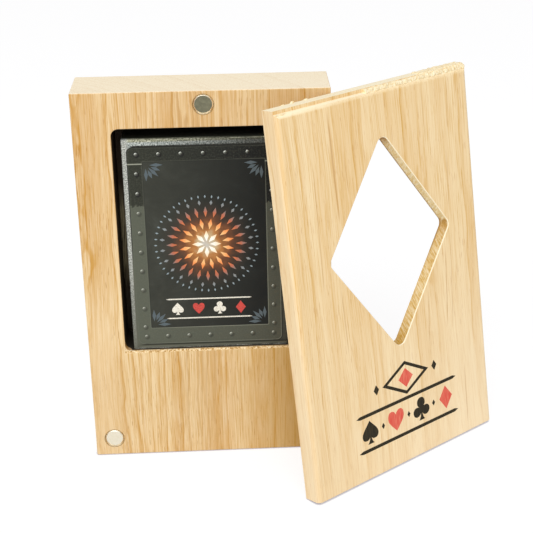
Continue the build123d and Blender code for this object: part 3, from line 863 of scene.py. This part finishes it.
# %% The lid's print
MID = 1.75
olive = [pip(SPADE, 10.4, MID - 22.5, 20.5), pip(CLUB, 10.4, MID + 7.5, 20.5),
         rule(MID, 12.6, 59.0, 1.5), rule(MID, 28.2, 59.0, 1.5), lozenge(MID, 37.4, 27.0, 15.0, line=1.35)]
olive += [lozenge(MID + aside, 20.5, 1.8, 2.8) for aside in (-15.0, 0.0, 15.0)]
olive += [lozenge(MID + aside, 37.4, 3.0, 4.6) for aside in (-17.0, 17.0)]
finish_piece(joined(olive), "lid_print_olive", LID_FACE, olive_ink, "lid")
coral = [pip(HEART, 9.8, MID - 7.5, 20.5), pip(DIAMOND, 10.8, MID + 22.5, 20.5), lozenge(MID, 37.4, 8.4, 8.6)]
finish_piece(joined(coral), "lid_print_coral", LID_FACE, coral_ink, "lid")

# %% [markdown]
# ## The ornament on the carton
# On the glow lies a rosette of lozenges, as on the back of a playing card: turned copies of one lozenge fill a
# ring. The ink takes its colour from the distance to the middle, from white-hot over amber and rust to steel
# blue, so one finish serves all the rings. Under it stand the four suits in bone white and red.

# %% Rosette
def turned(across, up, turns, out):
    """A shift to a middle, a part of a whole turn round it, and a shift out from it, in mm."""
    return moved(across, up) @ Matrix.Rotation(2 * pi * turns, 4, "Z") @ moved(0, out)


def petals(count, inner, outer, wide, start=0.0):
    """A ring of lozenges round the glow's middle."""
    return copied(lozenge(0, 0, wide, outer - inner),
                  [turned(*GLOW, (i + start) / count, (inner + outer) / 2) for i in range(count)])


glowing, add = new_finish("glowing_offset_inks")
away = from_axis(add, own_way(add, CARTON_PLACE, 1, 1, 1), *GLOW)
# dots of 1.1 mm make the rings' colours flow into each other
dots = add("TexNoise", add("TexCoord").outputs["Object"], 900, 3.0)
away = product(add, ((dots, 3.0, away), 1.5, 31.5))
inks = add("ValToRGB", away, stops=[(0.1, "#fffaf0"), (0.22, "#ffd592"), (0.34, "#f7934a"), (0.46, "#bd6440"),
                                    (0.56, "#7c7a78"), (0.72, "#93a5ae"), (1.0, "#4d5a60")])
add("OutputMaterial", add("BsdfPrincipled", inks, Roughness=0.32, IOR=1.5))
rosette = petals(8, 1.2, 6.0, 1.9) + petals(16, 6.6, 11.4, 1.7, 0.5) + petals(24, 12.0, 16.6, 1.5)
rosette += petals(24, 17.2, 19.4, 1.2, 0.5) + petals(48, 20.2, 21.6, 0.7)
finish_piece(joined(rosette), "carton_rosette", CARTON_FACE, glowing, "deck")

# %% Corners of the picture
leaves = []
for across, up, quarter in ((-23.2, 11.0, 0.75), (23.2, 11.0, 0.0), (23.2, 82.0, 0.25), (-23.2, 82.0, 0.5)):
    for i in range(5):
        leaf = lozenge(0, 0, 1.5, 5.4 if i % 2 == 0 else 4.0)
        leaf.data.transform(turned(across, up, quarter + i / 16, 4.2))
        leaves.append(leaf)
finish_piece(joined(leaves), "carton_corner_leaves", CARTON_FACE, glowing, "deck")

# %% Pips on the carton
def varnished_ink(name, tint, worn_tint):
    """Offset ink under varnish, with a fine print screen of half a millimetre."""
    finish, add = new_finish(name)
    screen = add("TexNoise", add("TexCoord").outputs["Object"], 2000, 2.0)
    colour = add("ValToRGB", screen, stops=[(0.45, tint), (0.7, worn_tint)])
    add("OutputMaterial", add("BsdfPrincipled", colour, Roughness=0.32, IOR=1.5))
    return finish


bone_ink = varnished_ink("bone_white_offset_ink", "#efece0", "#c9c6b8")
red_ink = varnished_ink("red_offset_ink", "#cf4136", "#a5352d")
bone = [pip(SPADE, 5.6, -13.2, 18.0), pip(CLUB, 5.6, 4.4, 18.0)]
bone += [rule(0, up, 36.0, 0.55) for up in (13.6, 22.4)]
finish_piece(joined(bone), "carton_pips_bone", CARTON_FACE, bone_ink, "deck")
red = [pip(HEART, 5.2, -4.4, 18.0), pip(DIAMOND, 5.8, 13.2, 18.0)]
finish_piece(joined(red), "carton_pips_red", CARTON_FACE, red_ink, "deck")

# %% [markdown]
# ## Torn fibres on the lid's top
# The cutter ran across the end of the grain and tore it: on the right half a welt of crushed fibres fills the
# small step, with a crest behind it, a pale tuft is left at its left end, and three blunt splinters lie along
# the back. Each is a box or cone with small faces, which a cloudy texture then pushes in and out.

# %% A function for torn wood
clouds = bpy.data.textures.new("torn_clouds", "CLOUDS")
clouds.noise_scale = 1.7 * MM
clouds.noise_depth = 2
torn_wood, add = new_finish("torn_oak_fibres")
tuft = add("TexNoise", own_way(add, lid_place, 0.9, 0.9, 1.3), 1.0, 4.0, 0.7)
colour = add("ValToRGB", tuft, stops=[(0.32, "#e3c48c"), (0.45, "#f3ddb0"), (0.6, "#fdf1d2")])
bump = add("Bump", Height=tuft, Strength=0.4, Distance=0.2 * MM)
add("OutputMaterial", add("BsdfPrincipled", colour, Roughness=0.75, Normal=bump))


def roughen(piece, name, strength, angle):
    """Pushes a piece's faces in and out by the clouds, and sets it on the lid."""
    apply_modifier(piece, "DISPLACE", texture=clouds, texture_coords="LOCAL", strength=strength * MM,
                   mid_level=0.5)
    bpy.ops.object.shade_smooth_by_angle(angle=radians(angle))
    finish_piece(piece, name, lid_place, torn_wood, "lid")


for name, middle, size, strength in (("lid_torn_welt", (23.0, -6.8, 161.4), (57.0, 2.4, 1.9), 1.0),
                                     ("lid_torn_crest", (39.0, -4.3, 162.4), (25.0, 6.0, 1.1), 1.0),
                                     ("lid_torn_tuft", (-48.6, -7.4, 160.7), (5.4, 1.2, 0.7), 0.8)):
    welt = started(bpy.ops.mesh.primitive_cube_add, size=1)
    welt.data.transform(moved(*middle) @ Matrix.Diagonal((*Vector(size) * MM, 1)))
    apply_modifier(welt, "BEVEL", width=0.45 * MM, segments=2)
    apply_modifier(welt, "REMESH", mode="VOXEL", voxel_size=0.22 * MM)
    roughen(welt, name, strength, 40)

# %% Splinters: blunt flakes that lie along the lid's back top arris
# wide and flat, and leaning to the right
LEAN = Matrix(((1, 0, 0.55, 0), (0, 1, 0, 0), (0, 0, 1, 0), (0, 0, 0, 1)))
for i, (across, long, tall) in enumerate(((-42.6, 3.0, 0.35), (-37.6, 2.6, 0.75), (-31.0, 3.4, 0.45))):
    splinter = started(bpy.ops.mesh.primitive_cone_add, vertices=9, radius1=1.0, radius2=0.45, depth=1.0)
    bpy.ops.object.mode_set(mode="EDIT")
    bpy.ops.mesh.select_all(action="SELECT")
    bpy.ops.mesh.subdivide(number_cuts=3)
    bpy.ops.object.mode_set(mode="OBJECT")
    splinter.data.transform(moved(across, -0.75, 162.0)
                            @ Matrix.Diagonal((long / 2 * MM, 0.6 * MM, (tall + 0.5) * MM, 1))
                            @ LEAN @ Matrix.Translation((0, 0, 0.5)))
    roughen(splinter, f"lid_splinter_{i + 1}", 0.3, 50)

# %% Hand over
scene.view_settings.view_transform = "Standard"
